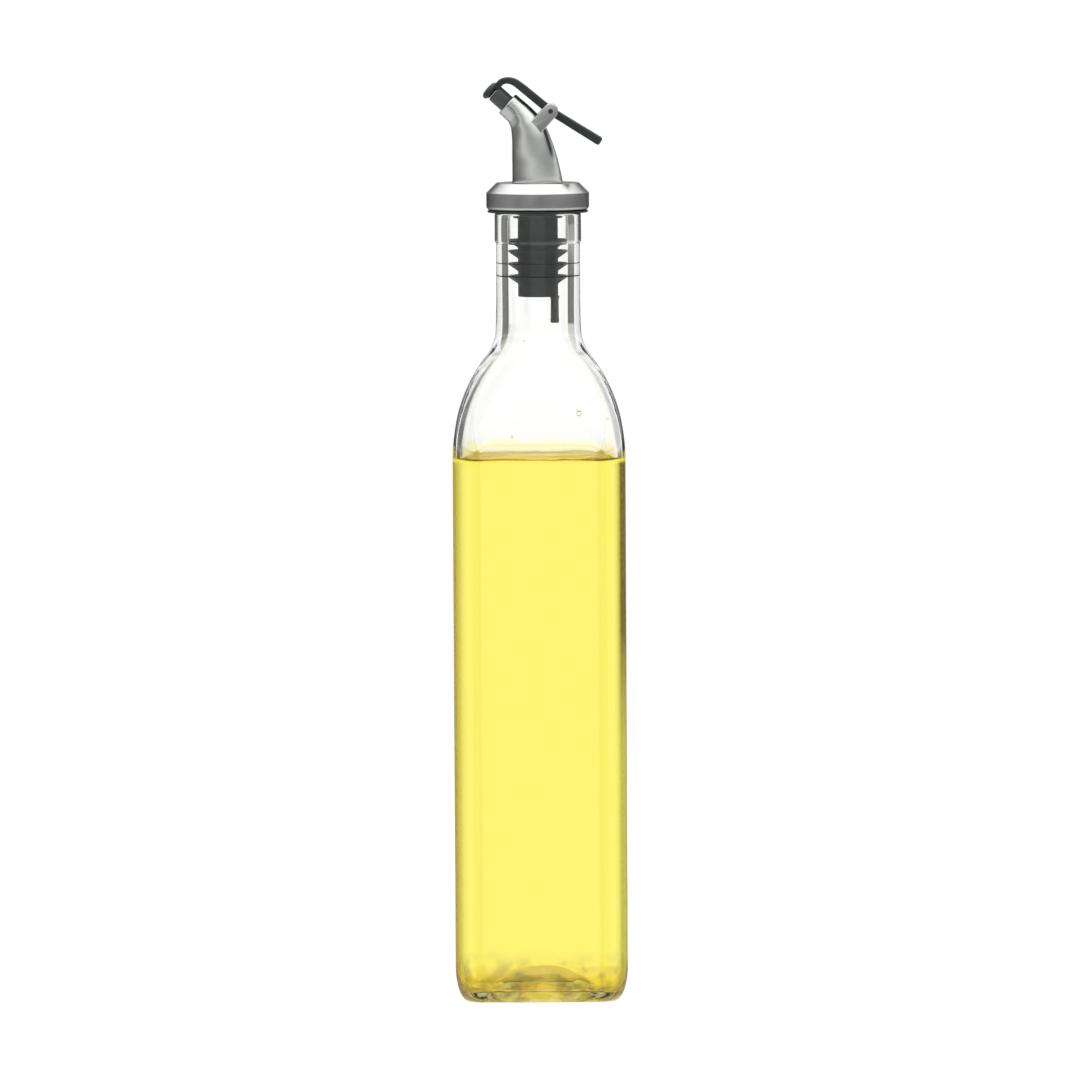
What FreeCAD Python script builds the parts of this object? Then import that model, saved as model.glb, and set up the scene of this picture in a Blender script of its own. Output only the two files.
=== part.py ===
# Square glass oil bottle with a spring-lever pourer.
#
# Frame: +Z up, origin in the middle of the base, on the surface the bottle
# stands on.  The lever lies in the XZ plane: its spout end points to -X and its
# finger end to +X.  All sizes are in millimetres and angles in degrees.
import FreeCAD, Part
import math
import os

import Sketcher
from FreeCAD import Placement, Rotation, Vector

doc = FreeCAD.newDocument("oil_bottle")
sheet = doc.addObject("Spreadsheet::Sheet", "Sizes")


# ------------------------------------------------------------------ the sheet
class Size:
    """A number together with the sheet formula that gives it."""

    def __init__(self, value, text):
        self.v = float(value)
        self.e = text

    @staticmethod
    def of(x):
        return x if isinstance(x, Size) else Size(x, "%.6g" % x if x >= 0 else "(%.6g)" % x)

    def __add__(self, o):
        o = Size.of(o)
        return Size(self.v + o.v, "(%s + %s)" % (self.e, o.e))

    def __sub__(self, o):
        o = Size.of(o)
        return Size(self.v - o.v, "(%s - %s)" % (self.e, o.e))

    def __mul__(self, o):
        o = Size.of(o)
        return Size(self.v * o.v, "(%s * %s)" % (self.e, o.e))

    def __truediv__(self, o):
        o = Size.of(o)
        return Size(self.v / o.v, "(%s / %s)" % (self.e, o.e))

    def __radd__(self, o):
        return Size.of(o) + self

    def __rsub__(self, o):
        return Size.of(o) - self

    def __rmul__(self, o):
        return Size.of(o) * self

    def __neg__(self):
        return Size(-self.v, "(0 - %s)" % self.e)


def sin(a):
    a = Size.of(a)
    return Size(math.sin(math.radians(a.v)), "sin(%s)" % a.e)


def cos(a):
    a = Size.of(a)
    return Size(math.cos(math.radians(a.v)), "cos(%s)" % a.e)


def acos(c):
    # in the sheet an angle from acos carries a unit, so it is turned to a plain number
    return Size(math.degrees(math.acos(c.v)), "(acos(%s) / 1 deg)" % c.e)


class Sheet:
    row = 0

    @classmethod
    def add(cls, alias, value, note):
        cls.row += 1
        sheet.set("A%d" % cls.row, note)
        sheet.set("B%d" % cls.row, "%.6g" % value)
        sheet.setAlias("B%d" % cls.row, alias)
        return Size(value, "Sizes.%s" % alias)


S = Sheet.add
# glass bottle
body_half = S("body_half", 29.0, "half the width of the square body")
corner_radius = S("corner_radius", 9.0, "corner radius of the body in plan")
wall = S("wall", 3.0, "glass wall of the body")
heel_in = S("heel_in", 4.4, "how far the heel draws in at the base")
heel_up = S("heel_up", 11.8, "height of the rounded heel")
punt_radius = S("punt_radius", 21.0, "radius of the hollow under the base")
punt_depth = S("punt_depth", 5.2, "depth of the hollow under the base")
floor_height = S("floor_height", 4.2, "inner floor at the walls")
floor_dome = S("floor_dome", 6.4, "rise of the inner floor at the middle")
floor_dome_radius = S("floor_dome_radius", 19.0, "radius of the domed part of the floor")
inner_heel = S("inner_heel", 6.2, "fillet between inner wall and floor")
shoulder_start = S("shoulder_start", 183.0, "height where the shoulder begins")
shoulder_sweep = S("shoulder_sweep", 55.0, "radius of the full part of the shoulder")
shoulder_hollow = S("shoulder_hollow", 16.0, "radius of the hollow part below the neck")
neck_low_radius = S("neck_low_radius", 14.35, "neck radius where the shoulder ends")
neck_radius = S("neck_radius", 14.1, "neck radius")
finish_radius = S("finish_radius", 14.55, "radius of the ring at the mouth")
finish_height = S("finish_height", 9.6, "height of the ring at the mouth")
mouth_height = S("mouth_height", 264.8, "height of the mouth")
bore_radius = S("bore_radius", 10.2, "bore of the neck")
inner_sweep = S("inner_sweep", 52.0, "radius of the full part of the shoulder inside")
inner_hollow = S("inner_hollow", 19.0, "radius of the hollow part inside")
# oil
oil_level = S("oil_level", 182.4, "height of the surface of the oil")
# stopper
gasket_radius = S("gasket_radius", 16.9, "radius of the stopper's flange")
gasket_thick = S("gasket_thick", 0.7, "thickness of the stopper's flange")
hub_radius = S("hub_radius", 8.5, "radius of the stopper just below its flange")
hub_height = S("hub_height", 2.5, "height of that hub")
core_radius = S("core_radius", 6.8, "radius of the stopper's core")
core_bottom = S("core_bottom", 236.5, "height of the stopper's lower end")
fin_radius = S("fin_radius", 10.15, "radius of the stopper's ribs")
fin_thick = S("fin_thick", 0.9, "thickness of a rib at its edge")
fin_rise = S("fin_rise", 1.5, "how much higher a rib's edge is than its root")
fin_top = S("fin_top", 256.0, "height of the top rib's edge")
fin_pitch = S("fin_pitch", 4.1, "distance between the ribs")
inlet_radius = S("inlet_radius", 3.4, "radius of the stopper's inlet")
inlet_depth = S("inlet_depth", 8.0, "depth of the stopper's inlet")
# breather tube
breather_offset = S("breather_offset", 5.2, "distance of the breather tube from the axis")
breather_radius = S("breather_radius", 1.35, "radius of the breather tube")
breather_flare = S("breather_flare", 1.6, "radius of the breather tube at its root")
breather_length = S("breather_length", 8.4, "length of the breather tube")
breather_bore = S("breather_bore", 0.75, "radius of its bore")
# pourer
collar_radius = S("collar_radius", 17.3, "radius of the collar")
collar_band = S("collar_band", 6.0, "height of the collar's straight band")
collar_bevel = S("collar_bevel", 3.3, "height of the collar's bevel")
collar_top_radius = S("collar_top_radius", 13.9, "radius of the collar's flat top")
collar_edge = S("collar_edge", 1.0, "rounding of the collar's lower edge")
trunk_radius = S("trunk_radius", 8.45, "radius of the trunk at the collar")
trunk_low_x = S("trunk_low_x", -1.05, "trunk's middle, low section, across")
trunk_low_z = S("trunk_low_z", 284.0, "trunk's low section, height")
trunk_low_radius = S("trunk_low_radius", 7.45, "trunk's low section, radius")
trunk_low_lean = S("trunk_low_lean", 5.0, "trunk's low section, lean")
trunk_high_x = S("trunk_high_x", -2.35, "trunk's middle, high section, across")
trunk_high_z = S("trunk_high_z", 290.3, "trunk's high section, height")
trunk_high_radius = S("trunk_high_radius", 6.2, "trunk's high section, radius")
trunk_high_lean = S("trunk_high_lean", 13.0, "trunk's high section, lean")
trunk_bend_x = S("trunk_bend_x", -4.75, "trunk's middle at the bend, across")
trunk_bend_z = S("trunk_bend_z", 295.7, "trunk's section at the bend, height")
trunk_bend_radius = S("trunk_bend_radius", 5.0, "trunk's section at the bend, radius")
trunk_bend_lean = S("trunk_bend_lean", 32.0, "trunk's section at the bend, lean")
spout_straight = S("spout_straight", 4.6, "length of straight spout tube")
spout_angle = S("spout_angle", 42.0, "rise of the spout above level")
spout_radius = S("spout_radius", 4.2, "radius of the spout tube")
spout_end_x = S("spout_end_x", -10.05, "centre of the spout tube's end, across")
spout_end_z = S("spout_end_z", 301.45, "centre of the spout tube's end, height")
# nozzle
nozzle_radius = S("nozzle_radius", 2.9, "radius of the nozzle")
nozzle_length = S("nozzle_length", 5.6, "length of nozzle outside the spout tube")
nozzle_socket = S("nozzle_socket", 6.0, "length of nozzle inside the spout tube")
nozzle_bore = S("nozzle_bore", 1.8, "radius of the nozzle's bore")
nozzle_edge = S("nozzle_edge", 0.8, "rounding of the nozzle's end")
# fork and pivot
pivot_x = S("pivot_x", 4.47, "pivot, across")
pivot_z = S("pivot_z", 298.9, "pivot, height")
ear_half = S("ear_half", 2.54, "half the width of an ear")
ear_down = S("ear_down", 10.5, "length of an ear below the pivot")
fork_width = S("fork_width", 10.0, "width over both ears")
fork_gap = S("fork_gap", 6.0, "gap between the ears")
fork_floor = S("fork_floor", 3.4, "depth of the gap below the pivot")
pin_radius = S("pin_radius", 0.95, "radius of the pivot pin")
pin_length = S("pin_length", 10.2, "length of the pivot pin")
pin_play = S("pin_play", 0.05, "play of the lever on its pin, radial")
# lever
lever_thick = S("lever_thick", 2.6, "thickness of the lever's arms")
lever_width = S("lever_width", 5.6, "width of the lever between the ears")
front_angle = S("front_angle", 38.7, "rise of the front arm")
back_angle = S("back_angle", 32.0, "fall of the finger arm")
back_length = S("back_length", 20.0, "length of the finger arm")
paddle_start = S("paddle_start", 9.5, "where the finger end widens")
paddle_width = S("paddle_width", 8.0, "width of the finger end")
boss_radius = S("boss_radius", 2.3, "radius of the lever's boss on its pin")
bend_top = S("bend_top", 310.3, "height of the top of the bend")
bend_thick = S("bend_thick", 2.1, "thickness of the bend")
bend_front = S("bend_front", -11.9, "where the bend turns down, across")
cap_gap = S("cap_gap", 0.12, "gap between the cap and the nozzle")
cap_tip_down = S("cap_tip_down", 4.4, "reach of the cap below the nozzle's middle")
cap_top_up = S("cap_top_up", 3.6, "reach of the cap's face above the nozzle's middle")
cap_thick = S("cap_thick", 2.4, "thickness of the cap at its tip")
cap_round = S("cap_round", 13.2, "radius of the cap's domed outer face")
cap_width = S("cap_width", 6.6, "width of the cap")
doc.recompute()


# ------------------------------------------------------------ drawing helpers
def new_body(label):
    b = doc.addObject("PartDesign::Body", label)
    b.Label = label
    b.Placement = Placement(Vector(0, 0, 0), Rotation())
    return b


def plane(body, role):
    for f in body.Origin.OriginFeatures:
        if f.Role == role:
            return f
    raise ValueError(role)


def new_sketch(body, name, role="XY_Plane", x=None, z=None, turn=None):
    """A sketch on one of the body's own planes.  x and z move it along its plane's
    local x and its normal, and turn leans it towards -X (XY plane only)."""
    sk = body.newObject("Sketcher::SketchObject", name)
    sk.AttachmentSupport = [(plane(body, role), "")]
    sk.MapMode = "FlatFace"
    rot = Rotation() if turn is None else Rotation(Vector(0, -1, 0), turn.v)
    sk.AttachmentOffset = Placement(Vector(x.v if x else 0, 0, z.v if z else 0), rot)
    if x is not None:
        sk.setExpression("AttachmentOffset.Base.x", x.e)
    if z is not None:
        sk.setExpression("AttachmentOffset.Base.z", z.e)
    if turn is not None:
        sk.setExpression("AttachmentOffset.Rotation.Angle", turn.e)
    return sk


def bind(sk, kind, *args):
    """Adds a constraint whose last argument is a Size and binds it to the sheet."""
    size = Size.of(args[-1])
    n = sk.addConstraint(Sketcher.Constraint(kind, *args[:-1], size.v))
    if "Sizes." in size.e:
        sk.setExpression("Constraints[%d]" % n, size.e)
    return n


def circle(sk, radius, x=0.0, y=0.0):
    x, y = Size.of(x), Size.of(y)
    n = sk.addGeometry(Part.Circle(Vector(x.v, y.v, 0), Vector(0, 0, 1), radius.v), False)
    bind(sk, "Radius", n, radius)
    if x.v == 0 and y.v == 0:
        sk.addConstraint(Sketcher.Constraint("Coincident", n, 3, -1, 1))
    else:
        place_point(sk, n, 3, x, y)
    return n


def place_point(sk, geo, pos, x, y):
    x, y = Size.of(x), Size.of(y)
    if abs(x.v) < 1e-9:
        sk.addConstraint(Sketcher.Constraint("PointOnObject", geo, pos, -2))
    else:
        bind(sk, "DistanceX", -1, 1, geo, pos, x)
    if abs(y.v) < 1e-9:
        sk.addConstraint(Sketcher.Constraint("PointOnObject", geo, pos, -1))
    else:
        bind(sk, "DistanceY", -1, 1, geo, pos, y)


def rounded_square(sk, half, radius):
    """Four sides and four equal corner arcs about the sketch's origin."""
    w, r = half.v, radius.v
    c = w - r
    corners = [(c, c, 0), (-c, c, 90), (-c, -c, 180), (c, -c, 270)]
    arcs = []
    for cx, cy, a in corners:
        base = Part.Circle(Vector(cx, cy, 0), Vector(0, 0, 1), r)
        arcs.append(sk.addGeometry(
            Part.ArcOfCircle(base, math.radians(a), math.radians(a + 90)), False))
    ends = [((c, w), (-c, w)), ((-w, c), (-w, -c)), ((-c, -w), (c, -w)), ((w, -c), (w, c))]
    sides = [sk.addGeometry(Part.LineSegment(Vector(a[0], a[1], 0), Vector(b[0], b[1], 0)), False)
             for a, b in ends]
    for i in range(4):
        sk.addConstraint(Sketcher.Constraint("Tangent", arcs[i], 2, sides[i], 1))
        sk.addConstraint(Sketcher.Constraint("Tangent", sides[i], 2, arcs[(i + 1) % 4], 1))
    for i in (0, 2):
        sk.addConstraint(Sketcher.Constraint("Horizontal", sides[i]))
        sk.addConstraint(Sketcher.Constraint("Vertical", sides[i + 1]))
    for i in (1, 2, 3):
        sk.addConstraint(Sketcher.Constraint("Equal", arcs[0], arcs[i]))
    bind(sk, "DistanceY", -1, 1, sides[0], 1, half)
    bind(sk, "DistanceY", -1, 1, sides[2], 1, -half)
    bind(sk, "DistanceX", -1, 1, sides[1], 1, -half)
    bind(sk, "DistanceX", -1, 1, sides[3], 1, half)
    bind(sk, "Radius", arcs[0], radius)


def outline(sk, points):
    """A closed outline.  Each point is (x, y) or (x, y, radius, side): the edge that
    leaves that point is then an arc, bulging to its left for side +1, right for -1."""
    n = len(points)
    geos, arcs = [], []
    for i, p in enumerate(points):
        q = points[(i + 1) % n]
        a = Vector(Size.of(p[0]).v, Size.of(p[1]).v, 0)
        b = Vector(Size.of(q[0]).v, Size.of(q[1]).v, 0)
        if len(p) == 2:
            geos.append(sk.addGeometry(Part.LineSegment(a, b), False))
            arcs.append(None)
            continue
        r, side = Size.of(p[2]).v, p[3]
        chord = b - a
        left = Vector(-chord.y, chord.x, 0)
        left.normalize()
        rise = r - math.sqrt(max(r * r - chord.Length ** 2 / 4.0, 0.0))
        middle = (a + b) * 0.5 + left * (side * rise)
        g = sk.addGeometry(Part.Arc(a, middle, b), False)
        geos.append(g)
        # an arc's own start is the end its anticlockwise sense begins at
        arc = sk.Geometry[g]
        forward = arc.StartPoint.distanceToPoint(a) < arc.StartPoint.distanceToPoint(b)
        arcs.append((forward, p[2]))

    def start(i):
        return 1 if arcs[i] is None or arcs[i][0] else 2

    def end(i):
        return 3 - start(i)

    for i in range(n):
        j = (i + 1) % n
        sk.addConstraint(Sketcher.Constraint("Coincident", geos[i], end(i), geos[j], start(j)))
    for i, p in enumerate(points):
        place_point(sk, geos[i], start(i), p[0], p[1])
        if arcs[i] is not None:
            bind(sk, "Radius", geos[i], Size.of(arcs[i][1]))
    return geos


def volume(body):
    doc.recompute()
    return body.Shape.Volume


def feature(body, kind, name, **props):
    """A feature of the body; the sketch and lengths are given by name."""
    f = body.newObject("PartDesign::" + kind, name)
    for key, val in props.items():
        if isinstance(val, Size):
            setattr(f, key, val.v)
            f.setExpression(key, val.e)
        else:
            setattr(f, key, val)
    body.Tip = f
    return f


def revolved(body, kind, name, points):
    """Points are (radius, height); the profile is turned about the Z axis."""
    sk = new_sketch(body, name + "_profile", "XZ_Plane")
    outline(sk, points)
    f = feature(body, kind, name, Profile=sk, Angle=360.0)
    f.ReferenceAxis = (sk, ["V_Axis"])
    return f


def took_away(body, was, name):
    """The body's volume, which the named feature must have made smaller."""
    now = volume(body)
    if not now < was - 1e-3:
        raise RuntimeError("%s cut nothing" % name)
    return now


# ------------------------------------------------------------------ the bottle
def shoulder_stations(half, sweep, hollow, top_radius):
    """(height, half width) up the S-shaped shoulder: a full arc out of the wall and a
    hollow arc into the neck, tangent to each other."""
    turn = acos(1 - (half - top_radius) / (sweep + hollow))
    out = []
    for k in (0.0, 0.2, 0.4, 0.6, 0.8, 1.0):
        a = turn * k
        out.append((shoulder_start + sweep * sin(a), half - sweep * (1 - cos(a))))
    z_join, w_join = out[-1]
    z_end = z_join + hollow * sin(turn)
    for k in (0.66, 0.33, 0.0):
        a = turn * k
        out.append((z_end - hollow * sin(a), top_radius + hollow * (1 - cos(a))))
    return out


def corner_at(k, half, corner, last):
    """The corner radius grows from the body's to very nearly a full circle."""
    ease = k * k * (3 - 2 * k)
    return corner * (1 - ease) + (half - last) * ease


def add_loft(body, kind, name, sections):
    sketches = []
    for i, (z, half, radius) in enumerate(sections):
        sk = new_sketch(body, "%s_section_%d" % (name, i), "XY_Plane", z=Size.of(z))
        rounded_square(sk, half, radius)
        sketches.append(sk)
    doc.recompute()
    return feature(body, kind, name, Profile=sketches[0], Sections=sketches[1:], Ruled=False)


def shoulder_sections(half, corner, sweep, hollow, top_radius):
    stations = shoulder_stations(half, sweep, hollow, top_radius)
    n = len(stations) - 1
    return [(z, w, corner_at(i / n, w, corner, 0.15)) for i, (z, w) in enumerate(stations)]


blank = new_body("bottle_blank")
heel = []
for k in (0.0, 0.14, 0.36, 0.66, 1.0):
    # the heel is a quarter of an ellipse
    draw = heel_in * (1 - math.sqrt(1 - (1 - k) ** 2))
    heel.append((heel_up * k, body_half - draw, corner_radius - draw * 0.6))
add_loft(blank, "AdditiveLoft", "heel", heel)
walls_sketch = new_sketch(blank, "walls_outline", "XY_Plane", z=heel_up)
rounded_square(walls_sketch, body_half, corner_radius)
feature(blank, "Pad", "walls", Profile=walls_sketch, Length=shoulder_start - heel_up)
outer = shoulder_sections(body_half, corner_radius, shoulder_sweep, shoulder_hollow, neck_low_radius)
add_loft(blank, "AdditiveLoft", "shoulder", outer)
neck_start = outer[-1][0]
revolved(blank, "Revolution", "neck", [
    (0, neck_start), (neck_low_radius, neck_start), (neck_radius, neck_start + 9),
    (neck_radius, mouth_height - finish_height - 0.6), (finish_radius, mouth_height - finish_height),
    (finish_radius, mouth_height - 0.5), (finish_radius - 0.5, mouth_height), (0, mouth_height)])
whole = volume(blank)
# the hollow under the base, part of a sphere, leaves a flat ring to stand on
punt_sphere = (punt_radius * punt_radius + punt_depth * punt_depth) / (2 * punt_depth)
revolved(blank, "Groove", "punt", [
    (0, -1), (punt_radius, -1), (punt_radius, 0, punt_sphere, -1), (0, punt_depth)])
took_away(blank, whole, "punt")

# The filled inside: straight walls, rounded to a floor that domes up in the middle, and
# the same S-shaped shoulder into the bore.  It is cut from the blank, and the oil is its
# lower part, so glass and oil share their faces.
inner_half = body_half - wall
inner_corner = corner_radius - wall
inner = shoulder_sections(inner_half, inner_corner, inner_sweep, inner_hollow, bore_radius)
inside = new_body("bottle_inside")
room_sketch = new_sketch(inside, "room_outline", "XY_Plane", z=floor_height)
rounded_square(room_sketch, inner_half, inner_corner)
room = feature(inside, "Pad", "room", Profile=room_sketch, Length=shoulder_start - floor_height)
doc.recompute()
rim = ["Edge%d" % i for i, e in enumerate(room.Shape.Edges, 1)
       if e.BoundBox.ZMax < floor_height.v + 1e-6]
feature(inside, "Fillet", "room_rounding", Base=(room, rim), Radius=inner_heel)
doc.recompute()
add_loft(inside, "AdditiveLoft", "room_shoulder", inner)
revolved(inside, "Revolution", "room_neck", [
    (0, inner[-1][0]), (bore_radius, inner[-1][0]), (bore_radius, mouth_height + 2),
    (0, mouth_height + 2)])
filled = volume(inside)
dome_sphere = (floor_dome_radius * floor_dome_radius + floor_dome * floor_dome) / (2 * floor_dome)
revolved(inside, "Groove", "room_floor", [
    (0, floor_height - 1), (floor_dome_radius, floor_height - 1),
    (floor_dome_radius, floor_height, dome_sphere, -1), (0, floor_height + floor_dome)])
took_away(inside, filled, "room_floor")

bottle = doc.addObject("Part::Cut", "bottle")
bottle.Label = "bottle"
bottle.Base = blank
bottle.Tool = inside

# ------------------------------------------------------------------- the oil
oil_box = doc.addObject("Part::Box", "oil_box")
oil_box.Label = "oil_box"
for side in ("Length", "Width"):
    oil_box.setExpression(side, "Sizes.body_half * 2")
oil_box.setExpression("Height", "Sizes.oil_level")
oil_box.setExpression("Placement.Base.x", "-Sizes.body_half")
oil_box.setExpression("Placement.Base.y", "-Sizes.body_half")
oil = doc.addObject("Part::Common", "oil")
oil.Label = "oil"
oil.Base = inside
oil.Tool = oil_box

# --------------------------------------------------------------- the stopper
stopper = new_body("stopper")
points = [(0, core_bottom), (core_radius, core_bottom)]
for i in (3, 2, 1, 0):
    edge = fin_top - fin_pitch * i
    points += [(core_radius, edge - fin_rise - 0.5), (fin_radius, edge - fin_thick),
               (fin_radius, edge), (core_radius, edge - fin_rise + 0.9)]
points += [(core_radius, mouth_height - hub_height), (hub_radius, mouth_height - hub_height),
           (hub_radius, mouth_height), (gasket_radius, mouth_height),
           (gasket_radius, mouth_height + gasket_thick), (0, mouth_height + gasket_thick)]
revolved(stopper, "Revolution", "ribs", points)
solid = volume(stopper)
inlet_sketch = new_sketch(stopper, "inlet_outline", "XY_Plane", z=core_bottom)
circle(inlet_sketch, inlet_radius)
feature(stopper, "Pocket", "inlet", Profile=inlet_sketch, Length=inlet_depth, Reversed=True)
took_away(stopper, solid, "inlet")

# ---------------------------------------------------------- the breather tube
breather = new_body("air_tube")
for name, depth, radius in (("breather_root", 1.2, breather_flare), ("breather_tube", breather_length, breather_radius)):
    sk = new_sketch(breather, name + "_outline", "XY_Plane", z=core_bottom)
    circle(sk, radius, breather_offset, 0)
    feature(breather, "Pad", name, Profile=sk, Length=Size.of(depth), Reversed=True)
solid = volume(breather)
sk = new_sketch(breather, "breather_bore_outline", "XY_Plane", z=core_bottom - breather_length)
circle(sk, breather_bore, breather_offset, 0)
feature(breather, "Pocket", "breather_hole", Profile=sk, Length=breather_length - 1.5, Reversed=True)
took_away(breather, solid, "breather_hole")

# ------------------------------------------------------------ the pourer body
collar_low = mouth_height + gasket_thick
collar_top = collar_low + collar_band + collar_bevel
pourer = new_body("pourer_body")
revolved(pourer, "Revolution", "collar", [
    (0, collar_low), (collar_radius - collar_edge, collar_low, collar_edge * 1.02, -1),
    (collar_radius, collar_low + collar_edge), (collar_radius, collar_low + collar_band),
    (collar_top_radius, collar_top), (0, collar_top)])
doc.recompute()

spout_lean = 90 - spout_angle
along_x, along_z = 0 - cos(spout_angle), sin(spout_angle)      # out of the spout
across_x, across_z = sin(spout_angle), cos(spout_angle)        # square to the spout, upward


def round_loft(body, name, sections):
    sketches = []
    for i, (x, z, lean, radius) in enumerate(sections):
        sk = new_sketch(body, "%s_section_%d" % (name, i), "XY_Plane", x=Size.of(x), z=Size.of(z),
                        turn=Size.of(lean) if Size.of(lean).v else None)
        circle(sk, Size.of(radius))
        sketches.append(sk)
    doc.recompute()
    return feature(body, "AdditiveLoft", name, Profile=sketches[0], Sections=sketches[1:], Ruled=False)


round_loft(pourer, "trunk", [
    (0, collar_top - 1.5, 0, trunk_radius),
    (trunk_low_x, trunk_low_z, trunk_low_lean, trunk_low_radius),
    (trunk_high_x, trunk_high_z, trunk_high_lean, trunk_high_radius),
    (trunk_bend_x, trunk_bend_z, trunk_bend_lean, trunk_bend_radius),
    (spout_end_x - spout_straight * along_x, spout_end_z - spout_straight * along_z, spout_lean, spout_radius),
    (spout_end_x, spout_end_z, spout_lean, spout_radius)])
doc.recompute()

# two ears stand square to the spout, with rounded ends about the pivot
ear_block = new_sketch(pourer, "ear_outline", "XZ_Plane")
outline(ear_block, [
    (pivot_x + ear_half * along_x, pivot_z + ear_half * along_z),
    (pivot_x + ear_half * along_x - ear_down * across_x, pivot_z + ear_half * along_z - ear_down * across_z),
    (pivot_x - ear_half * along_x - ear_down * across_x, pivot_z - ear_half * along_z - ear_down * across_z),
    (pivot_x - ear_half * along_x, pivot_z - ear_half * along_z)])
feature(pourer, "Pad", "ear_block", Profile=ear_block, Length=fork_width, Midplane=True)
ear_end = new_sketch(pourer, "ear_end_outline", "XZ_Plane")
circle(ear_end, ear_half, pivot_x, pivot_z)
feature(pourer, "Pad", "ear_end", Profile=ear_end, Length=fork_width, Midplane=True)
solid = volume(pourer)
fork = new_sketch(pourer, "fork_outline", "XZ_Plane")
reach, rise = ear_half + 1.6, ear_half + 2
outline(fork, [
    (pivot_x + reach * along_x + rise * across_x, pivot_z + reach * along_z + rise * across_z),
    (pivot_x + reach * along_x - fork_floor * across_x, pivot_z + reach * along_z - fork_floor * across_z),
    (pivot_x - reach * along_x - fork_floor * across_x, pivot_z - reach * along_z - fork_floor * across_z),
    (pivot_x - reach * along_x + rise * across_x, pivot_z - reach * along_z + rise * across_z)])
feature(pourer, "Pocket", "fork", Profile=fork, Length=fork_gap, Midplane=True)
solid = took_away(pourer, solid, "fork")
pin_hole = new_sketch(pourer, "pin_hole_outline", "XZ_Plane")
circle(pin_hole, pin_radius, pivot_x, pivot_z)
feature(pourer, "Pocket", "pin_hole", Profile=pin_hole, Length=fork_width * 1.5, Midplane=True)
solid = took_away(pourer, solid, "pin_hole")
socket = new_sketch(pourer, "socket_outline", "XY_Plane", x=spout_end_x, z=spout_end_z, turn=spout_lean)
circle(socket, nozzle_radius)
feature(pourer, "Pocket", "socket", Profile=socket, Length=nozzle_socket)
took_away(pourer, solid, "socket")

# ----------------------------------------------------------------- the nozzle
nozzle = new_body("nozzle")
sk = new_sketch(nozzle, "nozzle_outline", "XY_Plane", x=spout_end_x - nozzle_socket * along_x,
                z=spout_end_z - nozzle_socket * along_z, turn=spout_lean)
circle(sk, nozzle_radius)
barrel = feature(nozzle, "Pad", "barrel", Profile=sk, Length=nozzle_socket + nozzle_length)
solid = volume(nozzle)
tip_x = spout_end_x + nozzle_length * along_x
tip_z = spout_end_z + nozzle_length * along_z
ends = [(e.CenterOfMass.x, "Edge%d" % i) for i, e in enumerate(barrel.Shape.Edges, 1)
        if abs(e.BoundBox.YMin + nozzle_radius.v) < 0.01 and len(e.Vertexes) == 1]
feature(nozzle, "Fillet", "tip_rounding", Base=(barrel, [min(ends)[1]]), Radius=nozzle_edge)
solid = took_away(nozzle, solid, "tip_rounding")
sk = new_sketch(nozzle, "nozzle_bore_outline", "XY_Plane", x=tip_x, z=tip_z, turn=spout_lean)
circle(sk, nozzle_bore)
feature(nozzle, "Pocket", "nozzle_hole", Profile=sk, Length=Size.of(8.0))
took_away(nozzle, solid, "nozzle_hole")

# -------------------------------------------------------------- the pivot pin
pin = new_body("pivot_pin")
sk = new_sketch(pin, "pin_outline", "XZ_Plane")
circle(sk, pin_radius, pivot_x, pivot_z)
feature(pin, "Pad", "pin", Profile=sk, Length=pin_length, Midplane=True)
doc.recompute()

# ------------------------------------------------------------------ the lever
lever = new_body("lever")
half_thick = lever_thick / 2
front_x, front_z = 0 - cos(front_angle), sin(front_angle)       # from pivot to spout end
front_nx, front_nz = sin(front_angle), cos(front_angle)
back_x, back_z = cos(back_angle), 0 - sin(back_angle)           # from pivot to finger end
back_nx, back_nz = sin(back_angle), cos(back_angle)
mean_angle = (front_angle + back_angle) / 2
kink = half_thick / cos((front_angle - back_angle) / 2)
rise_up = (bend_top - pivot_z - half_thick * front_nz) / front_z
rise_down = (bend_top - bend_thick - pivot_z + half_thick * front_nz) / front_z
face_x = tip_x + cap_gap * along_x
face_z = tip_z + cap_gap * along_z
inner_tip = (face_x - cap_tip_down * across_x, face_z - cap_tip_down * across_z)
inner_top = (face_x + cap_top_up * across_x, face_z + cap_top_up * across_z)
outer_tip = (inner_tip[0] + cap_thick * along_x, inner_tip[1] + cap_thick * along_z)
back_up = (pivot_x + back_length * back_x + half_thick * back_nx, pivot_z + back_length * back_z + half_thick * back_nz)
back_down = (pivot_x + back_length * back_x - half_thick * back_nx, pivot_z + back_length * back_z - half_thick * back_nz)
arms = new_sketch(lever, "arms_outline", "XZ_Plane")
outline(arms, [
    back_up,
    (pivot_x + kink * sin(mean_angle), pivot_z + kink * cos(mean_angle)),
    (pivot_x + half_thick * front_nx + rise_up * front_x, bend_top),
    (bend_front, bend_top, cap_round, -1),
    outer_tip, inner_tip, inner_top,
    (pivot_x - half_thick * front_nx + rise_down * front_x, bend_top - bend_thick),
    (pivot_x - kink * sin(mean_angle), pivot_z - kink * cos(mean_angle)),
    (back_down[0], back_down[1], lever_thick * 0.62, -1)])
feature(lever, "Pad", "arms", Profile=arms, Length=lever_width, Midplane=True)
doc.recompute()
boss = new_sketch(lever, "boss_outline", "XZ_Plane")
circle(boss, boss_radius, pivot_x, pivot_z)
feature(lever, "Pad", "boss", Profile=boss, Length=lever_width, Midplane=True)
cap = new_sketch(lever, "cap_outline", "XZ_Plane")
outline(cap, [
    (bend_front, bend_top, cap_round, -1), outer_tip, inner_tip, inner_top])
feature(lever, "Pad", "cap", Profile=cap, Length=cap_width, Midplane=True)
paddle = new_sketch(lever, "paddle_outline", "XZ_Plane")
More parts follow.
